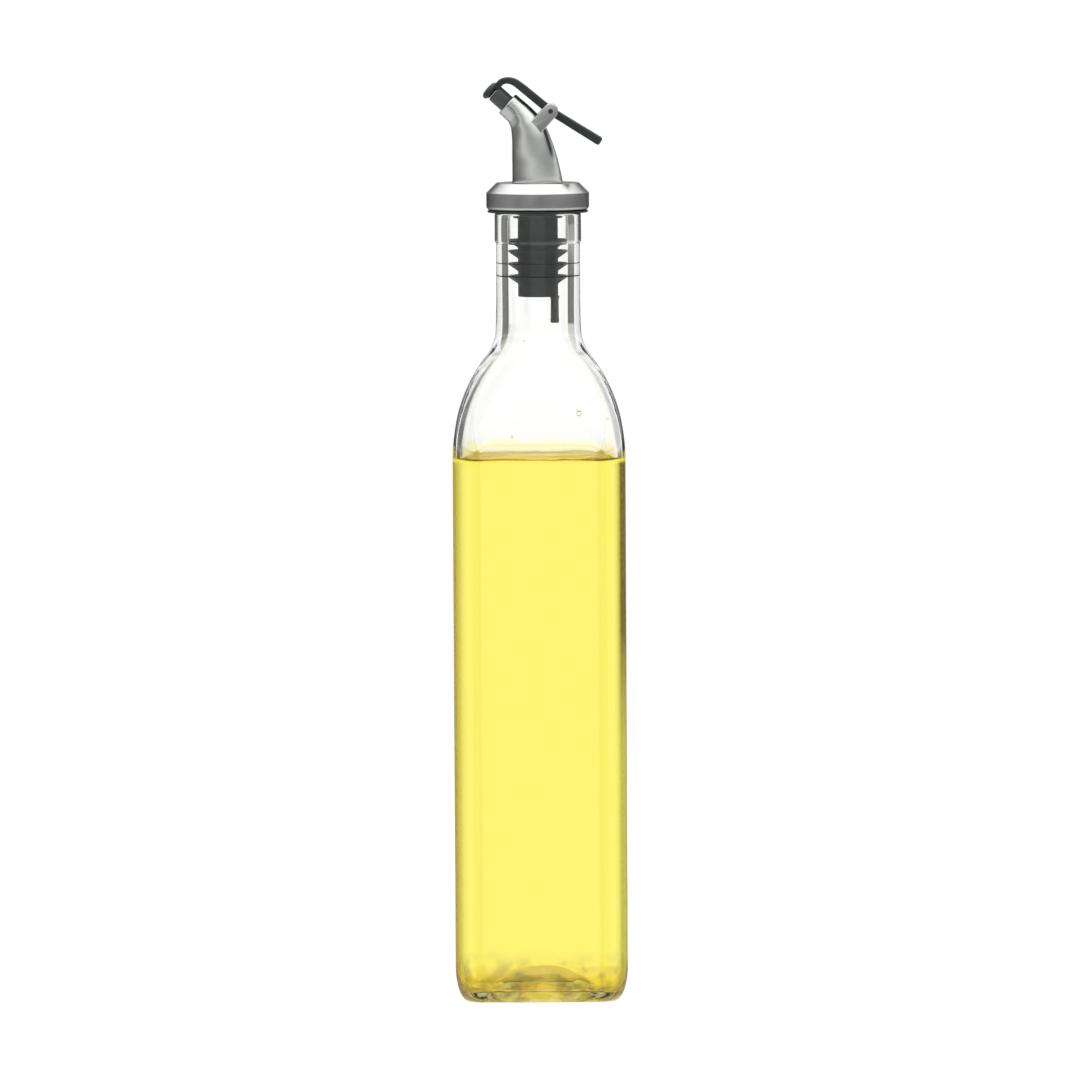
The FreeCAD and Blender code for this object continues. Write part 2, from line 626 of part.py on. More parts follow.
outline(paddle, [
    back_up,
    (pivot_x + paddle_start * back_x + half_thick * back_nx, pivot_z + paddle_start * back_z + half_thick * back_nz),
    (pivot_x + paddle_start * back_x - half_thick * back_nx, pivot_z + paddle_start * back_z - half_thick * back_nz),
    (back_down[0], back_down[1], lever_thick * 0.62, -1)])
feature(lever, "Pad", "paddle", Profile=paddle, Length=paddle_width, Midplane=True)
solid = volume(lever)
hole = new_sketch(lever, "lever_hole_outline", "XZ_Plane")
circle(hole, pin_radius + pin_play, pivot_x, pivot_z)
feature(lever, "Pocket", "lever_hole", Profile=hole, Length=lever_width * 1.5, Midplane=True)
took_away(lever, solid, "lever_hole")

# ------------------------------------------------------- checks and the files
doc.recompute()
parts = [bottle, oil, stopper, breather, pourer, nozzle, pin, lever]
for obj in doc.Objects:
    if "Invalid" in obj.State or "Error" in obj.State:
        raise RuntimeError("%s is in state %s" % (obj.Label, obj.State))
os.makedirs("parts", exist_ok=True)
for obj in parts:
    shape = obj.Shape
    if shape.isNull() or not shape.isValid() or len(shape.Solids) != 1:
        raise RuntimeError("%s is not one valid solid" % obj.Label)
    shape.exportStep(os.path.join("parts", obj.Label + ".step"))
    b = shape.BoundBox
    print("%-12s %9.1f mm3  x %.2f..%.2f  y %.2f..%.2f  z %.2f..%.2f" % (
        obj.Label, shape.Volume, b.XMin, b.XMax, b.YMin, b.YMax, b.ZMin, b.ZMax))
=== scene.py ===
# Looks of the square oil bottle with its lever pourer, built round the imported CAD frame.
# Lengths in the tables below are millimetres; meshes are made in metres.
import math

import bpy
import numpy as np
from mathutils import Matrix, Vector, noise


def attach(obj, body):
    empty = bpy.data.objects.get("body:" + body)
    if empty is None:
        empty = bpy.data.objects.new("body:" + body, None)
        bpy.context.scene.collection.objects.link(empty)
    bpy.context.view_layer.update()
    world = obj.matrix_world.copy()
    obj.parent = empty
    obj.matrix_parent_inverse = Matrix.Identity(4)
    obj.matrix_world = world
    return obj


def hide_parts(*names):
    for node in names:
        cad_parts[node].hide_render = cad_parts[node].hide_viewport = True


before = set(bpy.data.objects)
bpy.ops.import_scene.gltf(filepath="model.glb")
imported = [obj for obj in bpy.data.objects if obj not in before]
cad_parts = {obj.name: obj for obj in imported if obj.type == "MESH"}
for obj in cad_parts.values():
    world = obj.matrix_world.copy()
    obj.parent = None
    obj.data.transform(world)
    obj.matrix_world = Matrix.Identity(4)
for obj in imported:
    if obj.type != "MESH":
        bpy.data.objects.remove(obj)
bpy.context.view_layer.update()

MM = 0.001
scene = bpy.context.scene


# ---------------------------------------------------------------- mesh helpers
def mesh_object(name, verts, faces, smooth=True, merge=False):
    """A mesh object from vertices in millimetres."""
    me = bpy.data.meshes.new(name)
    me.from_pydata([tuple(c * MM for c in v) for v in verts], [], faces)
    me.validate()
    me.update()
    ob = bpy.data.objects.new(name, me)
    scene.collection.objects.link(ob)
    if smooth:
        me.polygons.foreach_set("use_smooth", [True] * len(me.polygons))
    return ob


def skin(name, rings, smooth=True, flip=False):
    """Closed surface over a run of rings of equal length.  A ring of one point is a pole.
    Rings run so that the surface's outside is to the left of the run; flip turns it over."""
    verts, faces, starts = [], [], []
    for ring in rings:
        starts.append((len(verts), len(ring)))
        verts.extend(tuple(float(c) for c in p) for p in ring)
    for (a, na), (b, nb) in zip(starts, starts[1:]):
        n = max(na, nb)
        for i in range(n):
            j = (i + 1) % n
            if na == 1:
                f = (a, b + j, b + i)
            elif nb == 1:
                f = (a + i, a + j, b)
            else:
                f = (a + i, a + j, b + j, b + i)
            faces.append(f[::-1] if flip else f)
    return mesh_object(name, verts, faces, smooth)


def round_profile(points, steps=6):
    """Points are (r, z) or (r, z, radius): each corner that has a radius is rounded by it."""
    out = []
    n = len(points)
    for i, p in enumerate(points):
        here = np.array(p[:2], float)
        radius = p[2] if len(p) > 2 else 0.0
        if radius <= 0 or i == 0 or i == n - 1:
            out.append(here)
            continue
        a = np.array(points[i - 1][:2], float) - here
        b = np.array(points[i + 1][:2], float) - here
        la, lb = np.linalg.norm(a), np.linalg.norm(b)
        a, b = a / la, b / lb
        half = math.acos(max(-1.0, min(1.0, float(a @ b)))) / 2
        if half < 1e-3 or abs(half - math.pi / 2) < 1e-3:
            out.append(here)
            continue
        reach = min(radius / math.tan(half), la * 0.49, lb * 0.49)
        r = reach * math.tan(half)
        mid = a + b
        mid /= np.linalg.norm(mid)
        centre = here + mid * (r / math.sin(half))
        start, end = here + a * reach, here + b * reach
        u, v = start - centre, end - centre
        turn = math.atan2(u[0] * v[1] - u[1] * v[0], float(u @ v))
        for k in range(steps + 1):
            t = turn * k / steps
            c, s = math.cos(t), math.sin(t)
            out.append(centre + np.array([u[0] * c - u[1] * s, u[0] * s + u[1] * c]))
    return out


def lathe(name, points, around=96, steps=6, centre=(0, 0), frame_to=None, flip=False):
    """A turned solid: points (r, z[, rounding]) from the axis round to the axis."""
    rings = []
    for r, z in round_profile(points, steps):
        if r < 1e-6:
            rings.append([(centre[0], centre[1], z)])
        else:
            rings.append([(centre[0] + r * math.cos(2 * math.pi * i / around),
                           centre[1] + r * math.sin(2 * math.pi * i / around), z)
                          for i in range(around)])
    ob = skin(name, rings, flip=flip)
    if frame_to is not None:
        ob.data.transform(frame_to)
    return ob


def smoothstep(a, b, x):
    t = min(1.0, max(0.0, (x - a) / (b - a)))
    return t * t * (3 - 2 * t)


# ------------------------------------------------------------- the glass's shape
HALF, CORNER, WALL = 29.0, 9.0, 3.0
HEEL_IN, HEEL_UP = 4.4, 11.8
SHOULDER, SWEEP, HOLLOW = 183.0, 55.0, 16.0
NECK_LOW, NECK, FINISH = 14.35, 14.1, 14.55
MOUTH, FINISH_H, BORE = 264.8, 9.6, 10.2
PUNT_R, PUNT_H = 21.0, 5.2
FLOOR, DOME, DOME_R, INNER_HEEL = 4.2, 6.4, 19.0, 6.2
IN_SWEEP, IN_HOLLOW, BORE_LOW = 52.0, 19.0, 9.95
LEVEL = 182.4


def directions():
    """Directions round the section, closer together over the body's corners."""
    quarter = list(np.linspace(0, 31, 15)[:-1]) + list(np.linspace(31, 59, 37)) + list(np.linspace(59, 90, 15)[1:-1])
    out = []
    for q in range(4):
        out += [math.radians(a + 90 * q) for a in quarter]
    return out


DIRECTIONS = directions()


def square_radius(w, r, phi):
    """Distance from the axis to a rounded square of half width w and corner radius r."""
    r = min(r, w)
    c, s = abs(math.cos(phi)), abs(math.sin(phi))
    k = w - r
    lo, hi = min(c, s), max(c, s)
    if lo * w <= k * hi:
        return w / hi
    return k * (c + s) + math.sqrt(max(r * r - k * k * (c - s) ** 2, 0.0))


def section(w, r, z, grow=None):
    ring = []
    for phi in DIRECTIONS:
        d = square_radius(w, r, phi)
        if grow is not None:
            d += grow(phi, z)
        ring.append((d * math.cos(phi), d * math.sin(phi), z))
    return ring


def shoulder(half, sweep, hollow, top, steps=(22, 12)):
    """(z, half width) up the S-shaped shoulder."""
    turn = math.acos(1 - (half - top) / (sweep + hollow))
    out = []
    for i in range(1, steps[0] + 1):
        a = turn * i / steps[0]
        out.append((SHOULDER + sweep * math.sin(a), half - sweep * (1 - math.cos(a))))
    z_end = out[-1][0] + hollow * math.sin(turn)
    for i in range(1, steps[1] + 1):
        a = turn * (1 - i / steps[1])
        out.append((z_end - hollow * math.sin(a), top + hollow * (1 - math.cos(a))))
    return out


def corner_along(k, w, corner):
    ease = k * k * (3 - 2 * k)
    return corner * (1 - ease) + w * ease


def outer_stations():
    """(z, half width, corner radius) up the outside from the edge of the base."""
    out = []
    for i in range(13):
        a = math.radians(90) * i / 12
        z = HEEL_UP * (1 - math.cos(a))
        draw = HEEL_IN * (1 - math.sin(a))
        out.append((z, HALF - draw, CORNER - draw * 0.6))
    z = HEEL_UP
    n = 40
    for i in range(1, n + 1):
        out.append((z + (SHOULDER - z) * i / n, HALF, CORNER))
    s = shoulder(HALF, SWEEP, HOLLOW, NECK_LOW)
    z0, z1 = SHOULDER, s[-1][0]
    for z, w in s:
        k = (z - z0) / (z1 - z0)
        out.append((z, w, corner_along(k, w, CORNER)))
    return out


def inner_stations(offset=0.0):
    """(z, half width, corner radius) up the inside from the floor's edge, offset into the glass."""
    out = []
    w, r = HALF - WALL + offset, CORNER - WALL + offset
    rad = INNER_HEEL + offset
    for i in range(12):
        a = math.radians(90) * i / 11
        out.append((FLOOR - offset + rad * (1 - math.cos(a)), w - rad * (1 - math.sin(a)),
                    max(r - rad * (1 - math.sin(a)) * 0.45, 2.0)))
    return out


def wavy(amount, seed, scale=26.0):
    """Slow unevenness of blown glass, in millimetres, along the section's radius."""
    def grow(phi, z):
        p = Vector((math.cos(phi) * 30 / scale + seed, math.sin(phi) * 30 / scale, z / scale))
        return amount * noise.noise(p)
    return grow


def inner_corner(r, z=0.0):
    """The inside is a little rounder than the outside, up to the shoulder."""
    return r + 1.6 * (1 - smoothstep(186, 222, z))


def inner_wave(phi, z):
    """The inside of the glass is less true than the mould's side, most of all near the base."""
    near = 1.0 + 1.6 * math.exp(-max(z - 12.0, 0.0) / 9.0)
    fade = 1.0 - smoothstep(205, 222, z)
    p = Vector((math.cos(phi) * 1.15 + 5.1, math.sin(phi) * 1.15, z / 24.0))
    q = Vector((math.cos(phi) * 2.9 + 1.7, math.sin(phi) * 2.9, z / 11.0))
    return (0.10 * noise.noise(p) + 0.035 * noise.noise(q)) * near * fade


def dome_height(r, foot, rise, radius):
    """Height of a spherical cap at distance r from its middle."""
    if r >= radius:
        return foot
    big = (radius ** 2 + rise ** 2) / (2 * rise)
    return foot + math.sqrt(big ** 2 - r ** 2) - (big - rise)


def circle_ring(r, z):
    return [(r * math.cos(p), r * math.sin(p), z) for p in DIRECTIONS]


def lumps(x, y, seed, amount):
    """Height of the lumps that the cooling glass keeps in its base."""
    p = Vector((x / 7.0 + seed, y / 7.0, seed))
    q = Vector((x / 15.0, y / 15.0 + seed, 2 * seed))
    return amount * (noise.noise(p) + 0.8 * noise.noise(q))


def floor_rings(z_of, w_edge, r_edge, z_edge, inner_r, seed=3.3, amount=0.45):
    """Rings from the middle of the floor out to its rounded-square edge."""
    rings = [[(0, 0, z_of(0) + lumps(0, 0, seed, amount))]]
    for r in np.linspace(0, inner_r, 19)[1:]:
        rings.append([(r * math.cos(p), r * math.sin(p),
                       z_of(r) + lumps(r * math.cos(p), r * math.sin(p), seed, amount)) for p in DIRECTIONS])
    for k in (0.3, 0.6, 0.85):
        ring = []
        for phi in DIRECTIONS:
            d0, d1 = inner_r, square_radius(w_edge, r_edge, phi)
            d = d0 + (d1 - d0) * k
            x, y = d * math.cos(phi), d * math.sin(phi)
            ring.append((x, y, z_edge + lumps(x, y, seed, amount) * (1 - k)))
        rings.append(ring)
    return rings


def make_glass():
    rings = [[(0, 0, PUNT_H + lumps(0, 0, 8.1, 0.35))]]
    big = (PUNT_R ** 2 + PUNT_H ** 2) / (2 * PUNT_H)
    for r in np.linspace(0, PUNT_R, 21)[1:-1]:
        z, keep = math.sqrt(big ** 2 - r ** 2) - (big - PUNT_H), 1 - smoothstep(PUNT_R - 5, PUNT_R, r)
        rings.append([(r * math.cos(p), r * math.sin(p),
                       z + keep * lumps(r * math.cos(p), r * math.sin(p), 8.1, 0.35)) for p in DIRECTIONS])
    for r, z in ((PUNT_R - 0.35, 0.16), (PUNT_R + 0.1, 0.04), (PUNT_R + 0.7, 0.0)):
        rings.append(circle_ring(r, z))
    rings.append([((lambda d: (d * math.cos(p), d * math.sin(p), 0.0))
                   (0.5 * (PUNT_R + 0.7) + 0.5 * square_radius(HALF - HEEL_IN, CORNER - 2.6, p)))
                  for p in DIRECTIONS])
    outside = wavy(0.03, 0.0)
    for z, w, r in outer_stations():
        edge = smoothstep(0, 20, z) * (1 - smoothstep(195, 220, z))
        rings.append(section(w, r, z, lambda phi, zz: min(0.0, outside(phi, zz) - 0.015) * edge))
    z_neck = outer_stations()[-1][0]
    for r, z in round_profile([
            (NECK_LOW, z_neck), (NECK_LOW - 0.1, z_neck + 3), (NECK, z_neck + 9), (NECK, 240.0),
            (NECK, MOUTH - FINISH_H - 0.7, 0.8), (FINISH, MOUTH - FINISH_H, 0.7), (FINISH, MOUTH - 3.0),
            (FINISH, MOUTH, 0.9), (BORE, MOUTH, 0.9), (BORE, MOUTH - 4.0)])[1:]:
        rings.append(circle_ring(r, z))
    s = shoulder(HALF - WALL, IN_SWEEP, IN_HOLLOW, BORE_LOW)
    z1 = s[-1][0]
    for z in np.linspace(MOUTH - 5, z1 + 1.0, 16):
        rings.append(circle_ring(BORE_LOW + (BORE - BORE_LOW) * smoothstep(226, 259, z), z))
    for z, w in reversed(s):
        k = (z - SHOULDER) / (z1 - SHOULDER)
        rings.append(section(w, inner_corner(corner_along(k, w, CORNER - WALL), z), z, inner_wave))
    inner = inner_stations()
    top = inner[-1][0]
    for i in range(44):
        z = SHOULDER + (top - SHOULDER) * i / 43
        rings.append(section(HALF - WALL, inner_corner(CORNER - WALL, z), z, inner_wave))
    for z, w, r in reversed(inner[:-1]):
        rings.append(section(w, inner_corner(r), z, inner_wave))
    w0, r0 = inner[0][1], inner_corner(inner[0][2])
    floor = floor_rings(lambda r: dome_height(r, FLOOR, DOME, DOME_R), w0, r0, FLOOR, DOME_R - 0.05)
    rings += list(reversed(floor))
    return skin("glass_bottle", rings)


def make_oil():
    """The oil fills the inside, reaching just into the wall, with a raised rim at the glass."""
    into = 0.07
    inner = inner_stations(into)
    w0, r0 = inner[0][1], inner_corner(inner[0][2])
    rings = floor_rings(lambda r: dome_height(r, FLOOR - into, DOME, DOME_R), w0, r0, FLOOR - into, DOME_R - 0.05)
    # seen from outside the oil, its underside comes first
    for z, w, r in inner:
        rings.append(section(w, inner_corner(r), z, inner_wave))
    top = inner[-1][0]
    w, r = HALF - WALL + into, CORNER - WALL + into
    rim = 1.0

    def rim_at(phi):
        p = Vector((math.cos(phi) * 1.6, math.sin(phi) * 1.6, 7.7))
        q = Vector((math.cos(phi) * 6.0, math.sin(phi) * 6.0, 1.3))
        return rim * (1 + 1.6 * max(math.sin(phi), 0.0) ** 2 + 0.6 * noise.noise(p) + 0.35 * noise.noise(q))

    def raised(ring, share):
        return [(x, y, z + share * rim_at(math.atan2(y, x))) for x, y, z in ring]

    for z in np.linspace(top, LEVEL - 0.6, 44)[1:]:
        rings.append(section(w, inner_corner(r, z), z, inner_wave))
    corner = inner_corner(r, LEVEL)
    for share in (0.0, 0.45, 0.8, 0.93, 0.985):
        rings.append(raised(section(w, corner, LEVEL, inner_wave), share))
    for d in (0.0, 0.04, 0.10, 0.25, 0.45, 0.7, 1.0, 1.4, 1.9, 2.6, 3.6, 5.2, 8.0, 12.0, 17.0, 22.0):
        share = math.exp(-max(d - into, 0.0) / 1.25)
        ring = raised(section(w - d, max(corner - d, 0.6), LEVEL,
                              inner_wave if d < 2 else None), share)
        calm = smoothstep(0.3, 3.0, d)
        rings.append([(x, y, z + calm * lumps(x, y, 5.5, 0.30)) for x, y, z in ring])
    rings.append([(0, 0, LEVEL)])
    return skin("oil_fill", rings)


# ------------------------------------------------------------------- materials
def new_material(name):
    m = bpy.data.materials.new(name)
    m.use_nodes = True
    nt = m.node_tree
    nt.nodes.clear()
    out = nt.nodes.new("ShaderNodeOutputMaterial")
    p = nt.nodes.new("ShaderNodeBsdfPrincipled")
    nt.links.new(p.outputs["BSDF"], out.inputs["Surface"])
    return m, nt, p, out


def add(nt, kind, **props):
    n = nt.nodes.new(kind)
    for k, v in props.items():
        setattr(n, k, v)
    return n


def noise_node(nt, scale, detail=4.0, rough=0.5, distortion=0.0):
    co = add(nt, "ShaderNodeTexCoord")
    n = add(nt, "ShaderNodeTexNoise")
    n.inputs["Scale"].default_value = scale
    n.inputs["Detail"].default_value = detail
    n.inputs["Roughness"].default_value = rough
    n.inputs["Distortion"].default_value = distortion
    nt.links.new(co.outputs["Object"], n.inputs["Vector"])
    return n


def ramp(nt, source, stops):
    r = add(nt, "ShaderNodeValToRGB")
    el = r.color_ramp.elements
    while len(el) < len(stops):
        el.new(0.5)
    for e, (pos, col) in zip(el, stops):
        e.position = pos
        e.color = (*col, 1.0) if len(col) == 3 else col
    nt.links.new(source, r.inputs["Fac"])
    return r


def map_range(nt, source, a, b, c, d):
    m = add(nt, "ShaderNodeMapRange")
    for key, val in zip(("From Min", "From Max", "To Min", "To Max"), (a, b, c, d)):
        m.inputs[key].default_value = val
    nt.links.new(source, m.inputs["Value"])
    return m


def bump(nt, p, source, strength, distance):
    b = add(nt, "ShaderNodeBump")
    b.inputs["Strength"].default_value = strength
    b.inputs["Distance"].default_value = distance
    nt.links.new(source, b.inputs["Height"])
    nt.links.new(b.outputs["Normal"], p.inputs["Normal"])
    return b


def lin(r, g, b):
    """Linear colour of an sRGB triple out of 255."""
    def one(c):
        c /= 255.0
        return c / 12.92 if c <= 0.04045 else ((c + 0.055) / 1.055) ** 2.4
    return (one(r), one(g), one(b))


def math_in(nt, op, a, b=None, clamp=False):
    n = add(nt, "ShaderNodeMath", operation=op, use_clamp=clamp)
    for i, v in enumerate((a, b)):
        if v is None:
            continue
        if isinstance(v, (int, float)):
            n.inputs[i].default_value = v
        else:
            nt.links.new(v, n.inputs[i])
    return n.outputs[0]


def colour_mix(nt, fac, a, b, blend="MIX"):
    n = add(nt, "ShaderNodeMix", data_type="RGBA", blend_type=blend)
    nt.links.new(fac, n.inputs[0])
    for i, v in ((6, a), (7, b)):
        if isinstance(v, tuple):
            n.inputs[i].default_value = (*v, 1.0)
        else:
            nt.links.new(v, n.inputs[i])
    return n.outputs[2]


def glass_material():
    """Clear glass.  Painted shade darkens its rounded corners and the ring round its mouth where they turn away,
    and the thick base is painted with the yellow light that comes down through the oil over it."""
    m, nt, p, out = new_material("clear_glass")
    p.inputs["Transmission Weight"].default_value = 1.0
    p.inputs["Roughness"].default_value = 0.0
    p.inputs["IOR"].default_value = 1.52
    # faint draw lines and unevenness of moulded glass
    n = noise_node(nt, 60.0, 2.0)
    bump(nt, p, n.outputs["Fac"], 0.05, 0.0006)
    co = add(nt, "ShaderNodeTexCoord")
    sep = add(nt, "ShaderNodeSeparateXYZ")
    nt.links.new(co.outputs["Object"], sep.inputs["Vector"])
    x, y, z = (sep.outputs[k] for k in "XYZ")
    turned = add(nt, "ShaderNodeLayerWeight")
    turned.inputs["Blend"].default_value = 0.5
    away = turned.outputs["Facing"]
    # painted shade along the rounded corners of the filled part: broad and near black on the +X side, weaker low down,
    # thin and brown on the -X side
    corner = map_range(nt, math_in(nt, "MINIMUM", math_in(nt, "ABSOLUTE", x), math_in(nt, "ABSOLUTE", y)),
                       0.0195, 0.0215, 0.0, 1.0).outputs["Result"]
    filled = map_range(nt, z, LEVEL * MM + 0.0004, LEVEL * MM - 0.0006, 0.0, 1.0).outputs["Result"]
    there = math_in(nt, "MULTIPLY", corner, filled)
    right = map_range(nt, x, -0.004, 0.004, 0.0, 1.0).outputs["Result"]
    right_painted_shade = math_in(nt, "MULTIPLY", map_range(nt, away, RIGHT_EDGE[0], RIGHT_EDGE[1], 0.0, 1.0).outputs["Result"], right)
    left_painted_shade = math_in(nt, "MULTIPLY", map_range(nt, away, LEFT_EDGE[0], LEFT_EDGE[1], 0.0, 1.0).outputs["Result"],
                   math_in(nt, "SUBTRACT", 1.0, right))
    upper = map_range(nt, z, 0.085, 0.125, 0.62, 1.0).outputs["Result"]
    right_painted_shade = math_in(nt, "MULTIPLY", right_painted_shade, upper)
    colour = colour_mix(nt, math_in(nt, "MULTIPLY", right_painted_shade, there), (1.0, 1.0, 1.0), RIGHT_PAINTED_SHADE)
    colour = colour_mix(nt, math_in(nt, "MULTIPLY", left_painted_shade, there), colour, LEFT_PAINTED_SHADE)
    # painted shade round the mouth, near black where the ring turns away
    ring = map_range(nt, z, (MOUTH - FINISH_H - 0.2) * MM, (MOUTH - FINISH_H + 0.4) * MM, 0.0, 1.0).outputs["Result"]
    rim = math_in(nt, "MULTIPLY", ring, map_range(nt, away, 0.54, 0.66, 0.0, 1.0).outputs["Result"])
    colour = colour_mix(nt, rim, colour, (0.012, 0.014, 0.015))
    # a film of oil left on the glass just over the level
    streaks = noise_node(nt, 42.0, 2.0)
    height = math_in(nt, "ADD", z, math_in(nt, "MULTIPLY", math_in(nt, "SUBTRACT", streaks.outputs["Fac"], 0.5), 0.006))
    film = map_range(nt, height, (LEVEL + 3.0) * MM, (LEVEL + 5.5) * MM, 1.0, 0.0).outputs["Result"]
    film = math_in(nt, "MULTIPLY", film, math_in(nt, "SUBTRACT", 1.0, filled))
    colour = colour_mix(nt, film, colour, colour_mix(nt, film, colour, (1.0, 0.94, 0.60), "MULTIPLY"))
    # painted light on the base: the yellow of the light that comes down through the oil, mottled lighter and darker
    low = map_range(nt, z, 0.0150, 0.0060, 0.0, 1.0).outputs["Result"]
    mottle = noise_node(nt, 165.0, 2.0, 0.5, 0.4)
    painted_oil_light = ramp(nt, mottle.outputs["Fac"], [(0.38, (0.50, 0.43, 0.14)), (0.48, (0.88, 0.80, 0.36)), (0.60, (1.0, 0.94, 0.50))])
    colour = colour_mix(nt, low, colour, colour_mix(nt, low, colour, painted_oil_light.outputs["Color"], "MULTIPLY"))
    nt.links.new(colour, p.inputs["Base Color"])
    v = add(nt, "ShaderNodeVolumeAbsorption")
    v.inputs["Color"].default_value = (0.80, 0.82, 0.78, 1)
    v.inputs["Density"].default_value = 40.0
    nt.links.new(v.outputs["Volume"], out.inputs["Volume"])
    return m


def oil_material():
    m, nt, p, out = new_material("oil")
    p.inputs["Base Color"].default_value = (1, 1, 1, 1)
    p.inputs["Transmission Weight"].default_value = 1.0
    p.inputs["Roughness"].default_value = 0.0
    p.inputs["IOR"].default_value = 1.49
    p.inputs["Specular IOR Level"].default_value = 0.0
    n = noise_node(nt, 35.0, 1.0)
    bump(nt, p, n.outputs["Fac"], 0.02, 0.0005)
    v = add(nt, "ShaderNodeVolumeAbsorption")
    # extinction per metre is (1 - colour) * density
    v.inputs["Color"].default_value = (0.992, 0.9445, 0.0, 1)
    v.inputs["Density"].default_value = 42.0
    nt.links.new(v.outputs["Volume"], out.inputs["Volume"])
    return m


def metal_material():
    m, nt, p, out = new_material("satin_metal")
    p.inputs["Metallic"].default_value = 1.0
    fine = noise_node(nt, 1400.0, 3.0, 0.6)
    slow = noise_node(nt, 120.0, 3.0, 0.5)
    col = ramp(nt, slow.outputs["Fac"], [(0.3, (0.55, 0.565, 0.55)), (0.7, (0.61, 0.62, 0.605))])
    nt.links.new(col.outputs["Color"], p.inputs["Base Color"])
    p.inputs["Specular Tint"].default_value = (0.30, 0.31, 0.30, 1.0)
    r = map_range(nt, slow.outputs["Fac"], 0.3, 0.7, 0.20, 0.27)
    nt.links.new(r.outputs["Result"], p.inputs["Roughness"])
    bump(nt, p, fine.outputs["Fac"], 0.10, 0.00003)
    return m


def plastic_material(name, dark, light, rough=(0.38, 0.5), grain=900.0, strength=0.25, ior=1.5):
    m, nt, p, out = new_material(name)
    slow = noise_node(nt, 90.0, 4.0, 0.55)
    fine = noise_node(nt, grain, 3.0, 0.6)
    col = ramp(nt, slow.outputs["Fac"], [(0.3, dark), (0.7, light)])
    nt.links.new(col.outputs["Color"], p.inputs["Base Color"])
    r = map_range(nt, slow.outputs["Fac"], 0.3, 0.7, rough[0], rough[1])
    nt.links.new(r.outputs["Result"], p.inputs["Roughness"])
    p.inputs["IOR"].default_value = ior
    bump(nt, p, fine.outputs["Fac"], strength, 0.00004)
    return m


# where painted shade darkens the glass's corners, by how far they face away, and the painted shade colours on each side
RIGHT_EDGE, RIGHT_PAINTED_SHADE = (0.17, 0.41), (0.045, 0.030, 0.020)
LEFT_EDGE, LEFT_PAINTED_SHADE = (0.12, 0.58), (0.32, 0.23, 0.12)
GLASS, OIL, METAL = glass_material(), oil_material(), metal_material()
LEVER_MAT = plastic_material("lever_plastic", (0.014, 0.018, 0.020), (0.021, 0.026, 0.028), ior=1.42)
BLACK_MAT = plastic_material("black_plastic", (0.036, 0.040, 0.041), (0.050, 0.054, 0.054))
RUBBER_MAT = plastic_material("stopper_rubber", (0.021, 0.028, 0.031), (0.029, 0.037, 0.041), (0.75, 0.9), ior=1.4)
PIN_MAT = plastic_material("pin_steel", (0.012, 0.014, 0.016), (0.022, 0.024, 0.026), (0.4, 0.5))


def finish_piece(ob, body, material, slot, *nodes):
    ob.data.materials.clear()
    ob.data.materials.append(material)
    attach(ob, body)
    if nodes:
        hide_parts(*nodes)
    return ob


MAIN = "bottle_body"
finish_piece(make_glass(), MAIN, GLASS, "clear_glass", "bottle")
finish_piece(make_oil(), MAIN, OIL, "oil", "oil")


def make_drops():
    """Drops of oil left on the inside of the front wall above the surface."""
    verts, faces = [], []
    for x, z, size in ((13.4, 198.2, 0.85), (12.6, 199.3, 0.35), (-4.4, 221.8, 0.4), (23.0, 196.5, 0.45), (-9.0, 190.6, 0.4)):
        a = math.asin(min((z - SHOULDER) / IN_SWEEP, 1.0))
        y = -(HALF - WALL - IN_SWEEP * (1 - math.cos(a))) + 0.04
        lean = Matrix.Rotation(-a, 3, "X")
        base, rows, cols = len(verts), 10, 20
        for i in range(rows + 1):
            t = math.pi * i / rows
            for j in range(cols if 0 < i < rows else 1):
                f = 2 * math.pi * j / cols
                sag = 1.25 if math.cos(t) < 0 else 1.0
                v = lean @ Vector((size * math.sin(t) * math.cos(f), 0.38 * size * math.sin(t) * math.sin(f), size * sag * math.cos(t)))
                verts.append((x + v.x, y + v.y, z + v.z))
        for j in range(cols):
            k = (j + 1) % cols
            faces.append((base, base + 1 + j, base + 1 + k))
            for i in range(rows - 2):
                p, q = base + 1 + i * cols, base + 1 + (i + 1) * cols
                faces.append((p + j, q + j, q + k, p + k))
            p = base + 1 + (rows - 2) * cols
            faces.append((p + j, p + cols, p + k))
    return mesh_object("oil_drops", verts, faces)


finish_piece(make_drops(), MAIN, OIL, "oil")

# -------------------------------------------------------------------- the stopper
EDGES = (256.0, 252.3, 248.0, 243.7)
CORE, RIB = 6.75, 10.14
points = [(0, 237.6), (2.6, 237.6, 0.3), (3.1, 236.55, 0.25), (CORE - 0.5, 236.5), (CORE, 236.5, 0.5)]
for e in reversed(EDGES):
    points += [(CORE, e - 2.9, 0.4), (RIB, e - 0.42, 0.15), (RIB, e, 0.15), (CORE, e - 0.15, 0.35)]
points += [(CORE, MOUTH - 2.4, 0.3), (8.55, MOUTH - 2.0, 0.3), (8.55, MOUTH + 0.02, 0.1), (16.9, MOUTH + 0.02, 0.25),
           (16.95, MOUTH + 0.7, 0.2), (0, MOUTH + 0.7)]
finish_piece(lathe("stopper_ribbed", points, 128), MAIN, RUBBER_MAT, "stopper_rubber", "stopper")
finish_piece(lathe("breather_tube", [
    (0, 229.2), (0.75, 229.2), (0.75, 227.5, 0.2), (1.45, 227.45, 0.45), (1.50, 228.4, 0.3), (1.40, 229.2, 0.4), (1.36, 235.2, 0.8),
    (1.66, 236.3, 0.4), (1.66, 236.62), (0, 236.62)], 48, centre=(5.6, 0)), MAIN, BLACK_MAT, "black_plastic", "air_tube")

